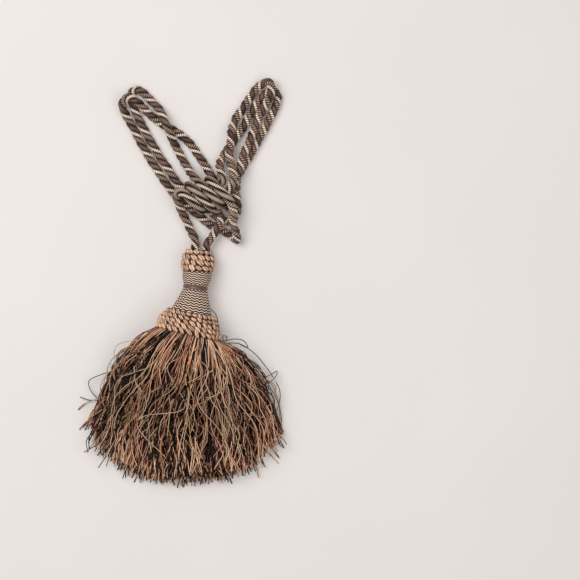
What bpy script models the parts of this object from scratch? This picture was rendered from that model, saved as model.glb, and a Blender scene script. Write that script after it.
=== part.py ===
"""Curtain tieback tassel, lying on a flat surface.

A doubled three-ply rope makes the tieback's two loops. It is gathered in a wrapped knot, from which a
second length of the same rope carries a turned tassel head with a thick skirt of cut threads.

Metres, +Z up. The tassel's top points along +Y, and the origin is under the middle of head and skirt.
"""

import math

import bmesh
import bpy
import numpy as np
from mathutils import Vector

MM = 0.001
GAP = 0.3 * MM  # between neighbouring pieces

# Rope: three plies laid up with an S twist.
ROPE_DIAMETER = 9.4 * MM
ROPE_GROOVE = 0.68  # radius at the groove between two plies, as a share of the crest's
ROPE_LAY = 21.5 * MM  # length of one turn of a ply
STEPS_PER_LAY = 7
FLOOR_LEVEL = ROPE_DIAMETER / 2 + 0.05 * MM  # height of a rope's middle where it lies on the surface
ROPE_SOFTNESS = 2.5 * MM  # how far a bend spreads along the rope

# Knot: a barrel of four turns round two strands of the tie rope.
KNOT_CENTRE = Vector((20.0, 182.0, 25.3)) * MM
KNOT_AXIS = Vector((0.786, 0.618, 0.0)).normalized()
KNOT_SIDE = Vector((KNOT_AXIS.y, -KNOT_AXIS.x, 0.0))
KNOT_ROW = KNOT_AXIS + KNOT_SIDE * 0.43  # its turns follow one another aslant
CORE_HALF_SPACING = 5.5 * MM
CORE_HALF_LENGTH = 15.6 * MM
WRAP_RADIUS = 10.8 * MM
WRAP_PITCH = 10.1 * MM
WRAP_POINTS = 18

# Head: turned pieces stacked along a slightly bent line that rises towards the skirt.
HEAD_TOP = Vector((13.1, 125.0)) * MM
HEAD_LENGTH = 88.0 * MM
HEAD_HEADING = (math.radians(3.0), math.radians(13.0))  # at the top and at the skirt, from -Y towards -X
TOP_RUFF_RADIUS = 16.9 * MM
LOWER_RUFF_RADIUS = 33.6 * MM
FLATTENED = 2.8 * MM  # how far a ruff's knots are pressed flat where it rests
TOP_RUFF_REST = 11.0 * MM  # where along the head each ruff touches the surface
LOWER_RUFF_REST = 83.0 * MM

TOP_RUFF = (0.0, 22.5 * MM)
NECK = (22.8 * MM, 36.8 * MM)
WAIST = (37.1 * MM, 41.7 * MM)
CONE = (42.0 * MM, 65.7 * MM)
LOWER_RUFF = (66.0 * MM, HEAD_LENGTH)

KNOT_HEIGHT = 1.8 * MM
TOP_KNOTS = (14, 4)  # round the ruff, and rows along it
LOWER_KNOTS = (24, 5)
RIB_HEIGHT = 0.9 * MM
NECK_RIBS = 4
CONE_RIBS = 7
WRAP_SIDES = 28  # sides of the ribbed and plain turned pieces

# Skirt: locks of thread that fan out from a disc under the lower ruff and settle on the surface.
BACKING_RADIUS = 30.5 * MM
BACKING_DEPTH = 5.0 * MM
ROOT_SPREAD = 28.6 * MM  # the outermost roots' distance from the disc's middle
SKIRT_LENGTH = 156.0 * MM
SIDE_SHORTER = 55.0 * MM  # the outermost locks end this much nearer to the head
TOP_SHORTER = 16.0 * MM
TIP_HALF_WIDTH = 99.0 * MM
TIP_MIDDLE = -1.5 * MM
TIP_HEIGHT = 30.0 * MM
LOCK_SPACING = 6.7 * MM  # between neighbouring tips, across and up
ROW_SPACING = 4.7 * MM
LOCK_WIDTH = 5.5 * MM
LOCK_HEIGHT = 3.6 * MM
LOCK_STEPS = 6
ROOT_SHARE = 0.27  # a lock's size at its root, as a share of its size at the tip
ROOT_REACH = 42.0 * MM  # how far a lock keeps the direction that it leaves the head in
ROOT_SPLAY = 50.0 * MM
TIP_REACH = 46.0 * MM
WAVE = 1.6 * MM

# The route of each stretch of rope, as x, y, z in millimetres.
RIGHT_LOOP_OUTER = [
    (43.6, 186, 25.2), (47.7, 193.2, 24.8), (49.2, 200.5, 24.4), (48, 208.7, 21.9), (46.3, 214.2, 18),
    (44.8, 219.7, 15.6), (44.4, 225.2, 14.7), (45.1, 230.6, 14.6), (46, 236.1, 14.4), (46.4, 241.6, 14),
    (46.4, 247, 12), (47.4, 252.7, 8.3), (51, 262.5, 4.9), (58.5, 273, 4.8), (66, 284.5, 4.8),
    (73, 294, 5.2), (79.5, 299.5, 7.3), (85.5, 300.8, 10.6), (89, 295.8, 14), (88, 287.8, 15),
    (84.2, 279, 12.8), (79.6, 271, 8.4), (75.1, 263.1, 5.8), (71.2, 254.2, 6.4), (67.6, 243.6, 10.3),
    (62.8, 232, 12.2), (58.8, 222.6, 13), (57, 215.5, 14.2), (56, 209.2, 14.6), (53.2, 202.7, 14.8),
    (50.8, 196.4, 15.2), (50.4, 190, 15.4), (51.4, 183.8, 15.4), (52.7, 177.5, 15.2), (53.4, 171, 15),
    (53.2, 164.6, 13.6), (50.9, 158.8, 11.1), (46.6, 155.2, 8.4),
]
UNDER_KNOT_TO_LEFT_INNER = [
    (41.2, 154.4, 6.2), (36, 156.4, 5), (30.2, 160.6, 4.8), (24.5, 165, 4.8), (16.5, 171.5, 4.8),
    (6.5, 179, 4.8), (-4.9, 189.2, 4.8), (-13.2, 199.8, 4.8), (-20.8, 211.7, 4.8), (-27.9, 221.7, 4.8),
    (-34.1, 232.2, 4.8), (-40.2, 242.6, 4.8), (-45.7, 253.1, 4.8), (-50.6, 263, 4.8), (-54.4, 271, 4.8),
    (-57.4, 278.6, 4.8), (-59, 286, 4.8), (-56.8, 291.8, 4.8),
]
LEFT_LOOP_INNER_BACK = [
    (-51, 293.3, 4.8), (-45, 289, 4.8), (-39, 283, 4.8), (-33, 277, 4.8), (-27.5, 270, 9),
    (-23, 260.5, 14.6), (-19.5, 251.5, 15), (-15.5, 242.5, 11.5), (-11.3, 232.6, 5.5), (-6, 222.8, 5),
    (-1, 213.4, 8), (4, 205.8, 15), (8.5, 199.5, 22),
]
KNOT_TO_TAIL = [
    (42.5, 179.6, 35), (47, 173, 32), (49, 166, 28), (48.8, 160, 24.3), (48.9, 153.6, 20.6),
    (50.4, 147.5, 18.2), (51.8, 142.8, 17), (53, 138.4, 15.2), (53.3, 135.2, 10.6), (51.5, 135.8, 6),
]
UNDER_KNOT_TO_LEFT_OUTER = [
    (47.3, 139.4, 4.8), (41.5, 143.3, 4.8), (34, 146.8, 4.8), (26.6, 150.2, 4.8), (18, 156.2, 4.8),
    (8.8, 164, 4.8), (-2.6, 173, 4.8), (-13.6, 183.9, 4.8), (-22.1, 195.1, 4.8), (-29.6, 206.7, 4.8),
    (-36.4, 217, 4.8), (-42.6, 227.5, 4.8), (-48.6, 238, 4.8), (-54, 248.4, 4.8), (-59.2, 258.6, 5.4),
    (-64.2, 267, 8.5), (-67.2, 275, 12.5), (-65.8, 282, 14.6),
]
LEFT_LOOP_OUTER_BACK = [
    (-60.5, 284.8, 15), (-54, 281.5, 15), (-48, 276.5, 12.8), (-42, 270.5, 8.2), (-36, 264.5, 5.2),
    (-28, 258.5, 4.8), (-19, 253, 4.8), (-10, 248, 4.8), (-1, 241, 4.8), (7.5, 231, 4.8),
    (14.5, 220.5, 4.8), (21, 210.5, 4.8), (27.5, 200, 4.8), (33.2, 189.8, 4.8), (38, 181, 4.8),
    (41, 174, 4.8), (44.2, 168.8, 4.8),
]
RIGHT_LOOP_INNER = [
    (48.7, 167.8, 4.8), (52, 171.2, 4.8), (52.7, 177, 4.8), (52.1, 184.5, 4.8), (51.6, 191, 4.8),
    (52.2, 197.2, 4.8), (54, 203, 4.8), (56.8, 208.8, 4.8), (60.6, 215, 4.8), (65.1, 222.6, 4.8),
    (70.4, 232, 4.8), (76.7, 243.6, 4.8), (82.5, 253.8, 4.8), (87.2, 263.6, 4.8), (92, 273, 4.8),
    (95, 281, 4.8), (95.2, 287, 4.8), (92, 291.3, 4.8), (87, 291.3, 4.8), (81.6, 288, 4.8),
    (75.5, 281.5, 4.8), (69.3, 271.8, 4.8), (63.8, 262.6, 4.8), (60.8, 256.6, 4.8), (57.4, 251.2, 4.8),
    (54, 245.9, 4.8), (50.4, 240.7, 4.8), (46.7, 235.8, 4.8), (43, 230.8, 4.8), (39.6, 225.9, 4.8),
    (36.6, 220.8, 6.4), (34.6, 215.5, 11.5), (34.6, 209.2, 17.5), (36.8, 203, 22.5), (38.6, 197.4, 24.8),
]
RIGHT_HANGING_LEG = [
    (24.4, 134.5, 13.8), (28.3, 141.2, 14), (32.8, 149.3, 14.7), (35.6, 156.8, 15.6), (35.2, 163, 17.8),
    (31, 164.2, 22.3),
]
LEFT_HANGING_LEG = [
    (-2, 183.4, 34.8), (-7.4, 185.2, 30.8), (-10.4, 181.6, 25), (-8.2, 173, 17.5), (-3.6, 162, 11.4),
    (1.8, 151, 8.8), (5.2, 143, 9.8), (8, 137.5, 12.6),
]
HANGING_LEG_PLACES = (7.4 * MM, -4.2 * MM)  # where they meet the head, right and left of its middle
HANGING_LEG_HEIGHT = 14.4 * MM


def clear_scene():
    for item in list(bpy.data.objects):
        bpy.data.objects.remove(item)


def new_collection(name):
    group = bpy.data.collections.new(name)
    bpy.context.scene.collection.children.link(group)
    return group


def cloth_material(name, colour, roughness):
    material = bpy.data.materials.new(name)
    material.use_nodes = True
    shader = material.node_tree.nodes["Principled BSDF"]
    shader.inputs["Base Color"].default_value = (*colour, 1.0)
    shader.inputs["Roughness"].default_value = roughness
    return material


def blend(first, last, start, end, place):
    """Between two points, as far along as the place is between start and end."""
    return ((end - place) * first + (place - start) * last) / (end - start)


def smooth_line(points):
    """A smooth curve through the points, by centripetal Catmull-Rom spans."""
    samples = 24
    points = np.array(points, float)
    ends = (2 * points[0] - points[1], 2 * points[-1] - points[-2])
    points = np.vstack([ends[0], points, ends[1]])
    knots = np.concatenate([[0.0], np.cumsum(np.linalg.norm(np.diff(points, axis=0), axis=1) ** 0.5)])
    line = []
    for i in range(1, len(points) - 2):
        p, k = points[i - 1 : i + 3], knots[i - 1 : i + 3]
        for t in np.linspace(k[1], k[2], samples, endpoint=False):
            near = [blend(p[j], p[j + 1], k[j], k[j + 1], t) for j in range(3)]
            wide = [blend(near[j], near[j + 1], k[j], k[j + 2], t) for j in range(2)]
            line.append(blend(wide[0], wide[1], k[1], k[2], t))
    return np.array(line + [points[-2]])


def evenly_spaced(line, step):
    along = np.concatenate([[0.0], np.cumsum(np.linalg.norm(np.diff(line, axis=0), axis=1))])
    places = np.linspace(0.0, along[-1], round(along[-1] / step) + 1)
    return np.stack([np.interp(places, along, line[:, axis]) for axis in range(3)], axis=1)


def rope_route(points):
    """The middle of a rope through the points, with its bends eased as a soft rope eases them."""
    step = 0.5 * MM
    line = evenly_spaced(smooth_line(points), step)
    reach = round(3 * ROPE_SOFTNESS / step)
    weights = np.exp(-0.5 * (np.arange(-reach, reach + 1) * step / ROPE_SOFTNESS) ** 2)
    weights /= weights.sum()
    before = 2 * line[0] - line[reach:0:-1]
    after = 2 * line[-1] - line[-2 : -reach - 2 : -1]
    padded = np.vstack([before, line, after])
    line = np.stack([np.convolve(padded[:, axis], weights, "valid") for axis in range(3)], axis=1)
    line[:, 2] = np.maximum(line[:, 2], FLOOR_LEVEL)
    return evenly_spaced(line, ROPE_LAY / STEPS_PER_LAY)


def core_points(side, first, last):
    """A strand straight through the knot's middle, on one side of its axis."""
    count = 4
    shares = [i / (count - 1) for i in range(count)]
    return [
        KNOT_CENTRE + KNOT_SIDE * side * CORE_HALF_SPACING + KNOT_ROW * (first + (last - first) * share)
        for share in shares
    ]


def wrap_points(first_angle, last_angle, first_place, last_place):
    """Turns round the knot's core. Angle 0 is at the knot's lower right, and 90 on top."""
    points = []
    for i in range(WRAP_POINTS + 1):
        share = i / WRAP_POINTS
        angle = math.radians(first_angle + (last_angle - first_angle) * share)
        shoulder = max(-1.0, min(1.0, 1.6 * math.cos(angle)))
        side = CORE_HALF_SPACING * shoulder + WRAP_RADIUS * math.cos(angle)
        place = first_place + (last_place - first_place) * share
        offset = KNOT_SIDE * side + KNOT_ROW * place
        points.append(KNOT_CENTRE + offset + Vector((0, 0, WRAP_RADIUS * math.sin(angle))))
    return points


def in_metres(table):
    return [Vector(row) * MM for row in table]


def tie_rope_points():
    core_end = CORE_HALF_LENGTH
    second_wraps = wrap_points(165, -270, 0.29 * WRAP_PITCH, 1.5 * WRAP_PITCH)
    return (
        core_points(1, -core_end, core_end - 2 * MM)
        + in_metres(RIGHT_LOOP_OUTER)
        + in_metres(UNDER_KNOT_TO_LEFT_INNER)
        + in_metres(LEFT_LOOP_INNER_BACK)
        + second_wraps
        + in_metres(KNOT_TO_TAIL)
        + in_metres(UNDER_KNOT_TO_LEFT_OUTER)
        + in_metres(LEFT_LOOP_OUTER_BACK)
        + in_metres(RIGHT_LOOP_INNER)
        + core_points(-1, core_end + 1 * MM, 1 * MM - core_end)
    )


def leg_end(offset):
    """The last stretch of a hanging leg, square to the head's top, from the head outwards."""
    centre, forward, sideways = head_centre(0.0)
    start = centre + sideways * offset - forward * GAP
    start.z = HANGING_LEG_HEIGHT
    return [start, start - forward * 7 * MM]


def hanging_cord_points():
    right, left = HANGING_LEG_PLACES
    first_wraps = wrap_points(15, 448, -0.29 * WRAP_PITCH, -1.5 * WRAP_PITCH)
    legs = (leg_end(right) + in_metres(RIGHT_HANGING_LEG), in_metres(LEFT_HANGING_LEG) + leg_end(left)[::-1])
    return legs[0] + first_wraps + legs[1]


def closed_profile(name, corners, guides):
    """A closed outline in its own plane, for a curve's bevel."""
    data = bpy.data.curves.new(name, "CURVE")
    data.dimensions = "2D"
    spline = data.splines.new("POLY")
    spline.points.add(len(corners) - 1)
    for point, (x, y) in zip(spline.points, corners):
        point.co = (x, y, 0.0, 1.0)
    spline.use_cyclic_u = True
    profile = bpy.data.objects.new(name, data)
    profile.hide_render = True
    profile.display_type = "WIRE"
    guides.objects.link(profile)
    return profile


def rope_profile(guides):
    corners = []
    for i in range(6):
        radius = ROPE_DIAMETER / 2 * (1.0 if i % 2 == 0 else ROPE_GROOVE)
        angle = -math.tau * i / 6
        corners.append((radius * math.cos(angle), radius * math.sin(angle)))
    return closed_profile("rope_section", corners, guides)


def twisted_rope(name, points, profile, material, group):
    route = rope_route(points)
    data = bpy.data.curves.new(name, "CURVE")
    data.dimensions = "3D"
    data.bevel_mode = "OBJECT"
    data.bevel_object = profile
    data.use_fill_caps = True
    data.twist_mode = "MINIMUM"
    spline = data.splines.new("POLY")
    spline.points.add(len(route) - 1)
    for i, (point, place) in enumerate(zip(spline.points, route)):
        point.co = (*place, 1.0)
        point.tilt = -math.tau * (i % STEPS_PER_LAY) / STEPS_PER_LAY
    data.materials.append(material)
    rope = bpy.data.objects.new(name, data)
    group.objects.link(rope)
    return rope


def head_height(place):
    """Height of the head's middle line, so that both ruffs rest on the surface."""
    low = TOP_RUFF_RADIUS - FLATTENED
    high = LOWER_RUFF_RADIUS - FLATTENED
    return low + (high - low) * (place - TOP_RUFF_REST) / (LOWER_RUFF_REST - TOP_RUFF_REST)


def head_centre(place):
    """The head's middle line, its forward direction and its sideways direction, at a place along it."""
    start, end = HEAD_HEADING
    steps = 40
    centre = HEAD_TOP.copy()
    for i in range(steps):
        turn = start + (end - start) * (i + 0.5) / steps * place / HEAD_LENGTH
        centre += Vector((-math.sin(turn), -math.cos(turn))) * place / steps
    turn = start + (end - start) * place / HEAD_LENGTH
    forward = Vector((-math.sin(turn), -math.cos(turn), 0.0))
    sideways = Vector((math.cos(turn), -math.sin(turn), 0.0))
    return Vector((*centre, head_height(place))), forward, sideways


def on_head(place, radius, angle):
    """A point round the head. Rings stand upright and follow its bent line, above the surface."""
    centre, _, sideways = head_centre(place)
    point = centre + sideways * radius * math.cos(angle) + Vector((0, 0, radius * math.sin(angle)))
    point.z = max(point.z, 0.0)
    return point


def turned_mesh(name, outline, sides):
    """Spins an outline of (radius, place along the axis) into a closed mesh about Z."""
    data = bpy.data.meshes.new(name)
    first, last = outline[0][1], outline[-1][1]
    corners = [(0.0, 0.0, first)] + [(radius, 0.0, place) for radius, place in outline] + [(0.0, 0.0, last)]
    edges = [(i, i + 1) for i in range(len(corners) - 1)]
    data.from_pydata(corners, edges, [])
    blank = bpy.data.objects.new(name, data)
    bpy.context.scene.collection.objects.link(blank)
    screw = blank.modifiers.new("turn", "SCREW")
    screw.steps = sides
    screw.render_steps = sides
    screw.use_merge_vertices = True
    screw.merge_threshold = 0.00001
    screw.use_normal_flip = True
    graph = bpy.context.evaluated_depsgraph_get()
    turned = bpy.data.meshes.new_from_object(blank.evaluated_get(graph))
    bpy.data.objects.remove(blank)
    return turned


def head_piece(name, outline, sides, relief, material, group):
    """A turned piece with relief(angle, place) added to its radius, laid along the head."""
    mesh = turned_mesh(name, outline, sides)
    for vertex in mesh.vertices:
        x, y, place = vertex.co
        radius, angle = math.hypot(x, y), math.atan2(y, x)
        if radius > GAP:
            radius += relief(angle, place)
        vertex.co = on_head(place, radius, angle)
    mesh.materials.clear()
    mesh.materials.append(material)
    mesh.name = name
    mesh.shade_smooth()
    mesh.set_sharp_from_angle(angle=math.radians(50))
    piece = bpy.data.objects.new(name, mesh)
    group.objects.link(piece)
    return piece


def knotted_ruff(name, span, radii, knots, material, group):
    """A ruff with rows of raised knots. Radii are the outline at even steps down the span."""
    count, rows = knots
    start, end = span
    lines = 2 * rows + 1
    outline = []
    for i in range(lines):
        share = i / (lines - 1)
        radius = float(np.interp(share, np.linspace(0, 1, len(radii)), radii))
        outline.append((radius, start + (end - start) * share))
    row_length = (end - start) / rows

    def relief(angle, place):
        row = (place - start) / row_length
        across = 0.5 - 0.5 * math.cos(math.tau * row)
        shift = 0.5 * (int(row) % 2)
        round_it = 0.5 + 0.5 * math.cos(count * angle + math.tau * shift)
        return KNOT_HEIGHT * across * round_it

    return head_piece(name, outline, 2 * count, relief, material, group)


def ribbed_band(name, span, radii, ribs, material, group):
    """A band wound with rows of cord, each a rib round it."""
    start, end = span
    lines = 2 * ribs + 1
    outline = []
    for i in range(lines):
        share = i / (lines - 1)
        radius = float(np.interp(share, np.linspace(0, 1, len(radii)), radii))
        lift = RIB_HEIGHT if i % 2 == 1 else 0.0
        outline.append((radius + lift, start + (end - start) * share))
    return head_piece(name, outline, WRAP_SIDES, lambda angle, place: 0.0, material, group)


def make_head(group):
    bronze = cloth_material("bronze_knots", (0.36, 0.24, 0.14), 0.5)
    zigzag = cloth_material("zigzag_wrap", (0.36, 0.28, 0.22), 0.5)
    mauve = cloth_material("mauve_satin", (0.2, 0.13, 0.11), 0.35)
    top = [r * MM for r in (12.4, 15.0, 15.5, 15.3, 14.2)]
    lower = [r * MM for r in (22.0, 26.5, 29.2, 31.3, 31.9)]
    knotted_ruff("top_ruff", TOP_RUFF, top, TOP_KNOTS, bronze, group)
    ribbed_band("neck_wrap", NECK, [r * MM for r in (14.9, 14.8, 13.9, 12.5)], NECK_RIBS, zigzag, group)
    ribbed_band("waist_binding", WAIST, [12.1 * MM, 12.1 * MM], 1, mauve, group)
    ribbed_band("cone_wrap", CONE, [r * MM for r in (12.6, 15.0, 18.0, 21.2)], CONE_RIBS, zigzag, group)
    knotted_ruff("lower_ruff", LOWER_RUFF, lower, LOWER_KNOTS, bronze, group)


def lock_line(across, up):
    """The underside of one lock, from root to tip.

    across runs from -1 to 1 over the fan, and up from 0, on the surface, to 1, on the top.
    """
    narrow = math.sqrt(max(0.0, 1.0 - across * across))
    rise = (2 * up - 1) * narrow
    centre, _, sideways = head_centre(HEAD_LENGTH + GAP + BACKING_DEPTH / 2)
    root = centre + sideways * across * ROOT_SPREAD + Vector((0, 0, rise * ROOT_SPREAD))
    reach = SKIRT_LENGTH - SIDE_SHORTER * abs(across) ** 3.3 - TOP_SHORTER * up * narrow
    reach += 4 * MM * math.sin(17 * across + 5 * up) + 3 * MM * math.sin(41 * across + 11 * up)
    rest = 0.05 * MM
    tip_x = TIP_MIDDLE + TIP_HALF_WIDTH * across
    tip = Vector((tip_x, centre.y - reach, rest + TIP_HEIGHT * up * narrow))
    low = (1 - up) ** 2 * narrow
    leave = root + Vector((ROOT_SPLAY * across, -ROOT_REACH * (1 - 0.57 * across * across), 0))
    leave.z = (root.z + 5 * MM * rise - 4 * MM * (1 - narrow)) * (1 - low) + tip.z * low
    arrive = tip + TIP_REACH * Vector((-0.16 * across, 1.0, 0.0))
    arrive.z = tip.z + 0.55 * up * narrow * (root.z - tip.z) + 4 * MM * (1 - narrow)
    points = []
    for i in range(LOCK_STEPS + 1):
        t = i / LOCK_STEPS
        s = 1 - t
        point = root * s**3 + leave * 3 * s * s * t + arrive * 3 * s * t * t + tip * t**3
        sway = WAVE * t * math.sin(7 * t + 5 * across + 3 * up)
        points.append(point + Vector((sway, 0, 0)))
    return points


def lock_places():
    """(across, up) for each lock, with the tips evenly spread over the fan's end."""
    places = []
    rows = int(TIP_HEIGHT / ROW_SPACING) + 1
    for row in range(rows):
        height = row * ROW_SPACING
        widest = math.sqrt(1 - (height / TIP_HEIGHT) ** 2)
        half = int(widest * TIP_HALF_WIDTH / LOCK_SPACING - 0.5 * (row % 2) + 0.35)
        for column in range(-half, half + 1):
            across = (column + 0.5 * (row % 2)) * LOCK_SPACING / TIP_HALF_WIDTH
            narrow = math.sqrt(max(0.0, 1 - across * across))
            if abs(across) <= 1 and height <= narrow * TIP_HEIGHT:
                places.append((across, height / (narrow * TIP_HEIGHT) if narrow else 0.0))
    return places


def join_by_boolean(target, tool):
    union = target.modifiers.new("join", "BOOLEAN")
    union.operation = "UNION"
    union.solver = "EXACT"
    union.use_self = True
    union.object = tool


def make_skirt(group, guides):
    thread = cloth_material("skirt_threads", (0.2, 0.12, 0.06), 0.55)
    corners = [(-LOCK_WIDTH / 2, 0.0), (LOCK_WIDTH / 2, 0.0), (0.0, LOCK_HEIGHT)]
    profile = closed_profile("lock_section", corners, guides)
    data = bpy.data.curves.new("locks", "CURVE")
    data.dimensions = "3D"
    data.bevel_mode = "OBJECT"
    data.bevel_object = profile
    data.use_fill_caps = True
    data.twist_mode = "Z_UP"
    for across, up in lock_places():
        line = lock_line(across, up)
        spline = data.splines.new("POLY")
        spline.points.add(len(line) - 1)
        for i, (point, place) in enumerate(zip(spline.points, line)):
            share = i / LOCK_STEPS
            point.co = (*place, 1.0)
            point.radius = ROOT_SHARE + (1 - ROOT_SHARE) * share**0.85
    curve = bpy.data.objects.new("locks", data)
    guides.objects.link(curve)
    bpy.context.view_layer.update()
    graph = bpy.context.evaluated_depsgraph_get()
    mesh = bpy.data.meshes.new_from_object(curve.evaluated_get(graph))
    bpy.data.objects.remove(curve)
    work = bmesh.new()
    work.from_mesh(mesh)
    bmesh.ops.remove_doubles(work, verts=work.verts, dist=0.001 * MM)
    bmesh.ops.recalc_face_normals(work, faces=work.faces)
    work.to_mesh(mesh)
    work.free()
    locks = bpy.data.objects.new("locks", mesh)
    locks.hide_render = True
    locks.display_type = "WIRE"
    guides.objects.link(locks)

    start = HEAD_LENGTH + GAP
    outline = [(BACKING_RADIUS, start), (BACKING_RADIUS, start + BACKING_DEPTH)]
    backing = head_piece("skirt", outline, 36, lambda angle, place: 0.0, thread, group)
    join_by_boolean(backing, locks)


def make_part():
    clear_scene()
    group = new_collection("curtain_tieback_tassel")
    guides = new_collection("guides")
    profile = rope_profile(guides)
    rope_brown = cloth_material("three_colour_rope", (0.16, 0.11, 0.08), 0.45)
    twisted_rope("tie_rope", tie_rope_points(), profile, rope_brown, group)
    twisted_rope("hanging_cord", hanging_cord_points(), profile, rope_brown, group)
    make_head(group)
    make_skirt(group, guides)


make_part()
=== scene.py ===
"""The look of a curtain tieback tassel that lies on a pale surface, seen from above.

Three-ply ropes, knotted ruffs, zigzag bands, a satin waist and a skirt of crimped threads replace the
plain solids of the frame. Metres, +Z up, in the frame's own coordinates.
"""

import math
from collections import namedtuple

import bpy
import numpy as np
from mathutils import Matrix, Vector


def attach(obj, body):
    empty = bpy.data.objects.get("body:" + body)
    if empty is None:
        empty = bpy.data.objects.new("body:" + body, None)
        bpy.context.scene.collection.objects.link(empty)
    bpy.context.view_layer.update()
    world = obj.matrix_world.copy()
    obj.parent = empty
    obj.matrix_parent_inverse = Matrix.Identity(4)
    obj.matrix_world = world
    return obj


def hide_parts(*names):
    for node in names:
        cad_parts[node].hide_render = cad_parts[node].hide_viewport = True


MM = 0.001
UP = np.array([0.0, 0.0, 1.0])
random = np.random.default_rng(7)  # seeded, so that each run draws the same tassel

# The photograph.
PHOTO_PIXELS = 580
PIXEL = 1.05 * MM  # at the surface
ORIGIN_PIXEL = (187.0, 369.0)
CAMERA_HEIGHT = 3.6
SENSOR = 36.0

# Rope, as in the frame.
ROPE_DIAMETER = 9.4 * MM
LEFT_LAY = 23.0 * MM  # length of one turn of a ply, in the left loop
RIGHT_LAY = 17.5 * MM  # in the right loop
OPEN_LAY = 46.0 * MM  # the plies run flatter round the knot
OPEN_REACH = (22 * MM, 30 * MM)  # from the knot's middle: wholly and no longer flatter
OPEN_HEIGHT = (18 * MM, 24 * MM)  # above the surface: not yet and wholly flatter
LAY_CHANGES = (10 * MM, 40 * MM)  # in x, from the left loop's lay to the right loop's
FLOOR_LEVEL = ROPE_DIAMETER / 2 + 0.05 * MM  # height of a rope's middle where it lies on the surface
ROPE_SOFTNESS = 2.5 * MM  # how far a bend spreads along the rope
KNOT_CENTRE = Vector((20.0, 182.0, 25.3)) * MM
KNOT_AXIS = Vector((0.786, 0.618, 0.0)).normalized()
KNOT_SIDE = Vector((KNOT_AXIS.y, -KNOT_AXIS.x, 0.0))
KNOT_ROW = KNOT_AXIS + KNOT_SIDE * 0.43  # its turns follow one another aslant
CORE_HALF_SPACING = 5.5 * MM
CORE_HALF_LENGTH = 15.6 * MM
WRAP_RADIUS = 10.8 * MM
WRAP_PITCH = 10.1 * MM
WRAP_POINTS = 18
WRAP_SHOULDER = 1.6  # how soon a turn passes from one core strand to the other
WRAP_START = 0.29 * WRAP_PITCH  # along the knot from its middle, where each rope's turns start and end
WRAP_END = 1.5 * WRAP_PITCH
CORD_WRAP_ANGLES = (15, 448)  # in degrees, where each rope's turns start and end
ROPE_WRAP_ANGLES = (165, -270)
HIGHLIGHT_HEIGHT = (20 * MM, 36 * MM)  # above the surface: where the painted highlight starts and where it is strongest
HIGHLIGHT_SHARE = 0.55
SATIN_FIBRES = 11  # round the satin ply
YARN_FIBRES = 7  # round a knot of the ruffs
RIB_PITCH = 2.0 * MM  # of the gimp that covers the ribbed plies
PLY_SIDES = 8
PLY_STEP = 0.405 * MM
PATH_STEP = 3 * MM  # between the points of a cord's path
# Each ply: where round the rope it starts, its radius, its distance from the rope's middle and the share of
# its radius that its ribs take.
PLIES = (
    (0.0, 2.52 * MM, 2.26 * MM, 0.0),
    (2.3, 2.45 * MM, 2.33 * MM, 0.14),
    (4.27, 1.9 * MM, 2.85 * MM, 0.2),
)

# Head, as in the frame: where each piece starts and ends along it, and its radii at even steps between.
HEAD_TOP = Vector((13.1, 125.0)) * MM
HEAD_LENGTH = 88.0 * MM
HEAD_HEADING = (math.radians(3.0), math.radians(13.0))  # at the top and at the skirt, from -Y towards -X
TOP_RUFF_RADIUS = 16.9 * MM
LOWER_RUFF_RADIUS = 33.6 * MM
FLATTENED = 2.8 * MM  # how far a ruff's knots are pressed flat where it rests
TOP_RUFF_REST = 11.0 * MM  # where along the head each ruff touches the surface
LOWER_RUFF_REST = 83.0 * MM
TOP_RUFF = (0.0, 22.5 * MM)
NECK = (22.8 * MM, 36.8 * MM)
WAIST = (37.1 * MM, 41.7 * MM)
CONE = (42.0 * MM, 65.7 * MM)
LOWER_RUFF = (66.0 * MM, HEAD_LENGTH)
TOP_RUFF_RADII = np.array([10.5, 14.6, 16.0, 15.9, 14.8]) * MM
NECK_RADII = np.array([15.0, 14.9, 14.1, 12.7]) * MM
WAIST_RADIUS = 12.3 * MM
CONE_RADII = np.array([12.7, 15.1, 18.1, 21.2]) * MM
LOWER_RUFF_RADII = np.array([22.6, 27.4, 30.0, 31.8, 32.2]) * MM

# Knots of the ruffs: how many round each and along it, how they lean, and how uneven they are, as shares of
# a knot's own width, length, lean, size and tone.
TOP_KNOTS = (14, 4)
LOWER_KNOTS = (27, 5)
BEAN_LEAN = 0.6
BEAN_HEIGHT = 2.6 * MM
BEAN_SIDES = 20
BEAN_RINGS = 9
GAP_SHADE_DEPTH = 0.9 * MM  # how far the dark ground of painted shade lies below the knots' middles
UNEVEN_ROUND, UNEVEN_ALONG, UNEVEN_LEAN, UNEVEN_SIZE, UNEVEN_TONE = 0.05, 0.06, 0.18, 0.08, 0.16

# Zigzag winding: rows along each band, zigzags round it, and the share of a row that a zigzag climbs.
NECK_ZIGZAGS = (6, 18)
CONE_ZIGZAGS = (9, 19)
ZIGZAG_CLIMB = 0.6
ZIGZAG_RELIEF = 0.7 * MM
ZIGZAG_SUNK = 0.3 * MM  # its furrows, below the band's radius
ZIGZAG_SIDES = 216
LINES_PER_ROW = 14

# Satin winding of the waist.
WAIST_TURNS = 6
WAIST_BULGE = 0.7 * MM
WAIST_TURN_RELIEF = 0.06 * MM
WAIST_LINES = 17
WAIST_SIDES = 96

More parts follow.
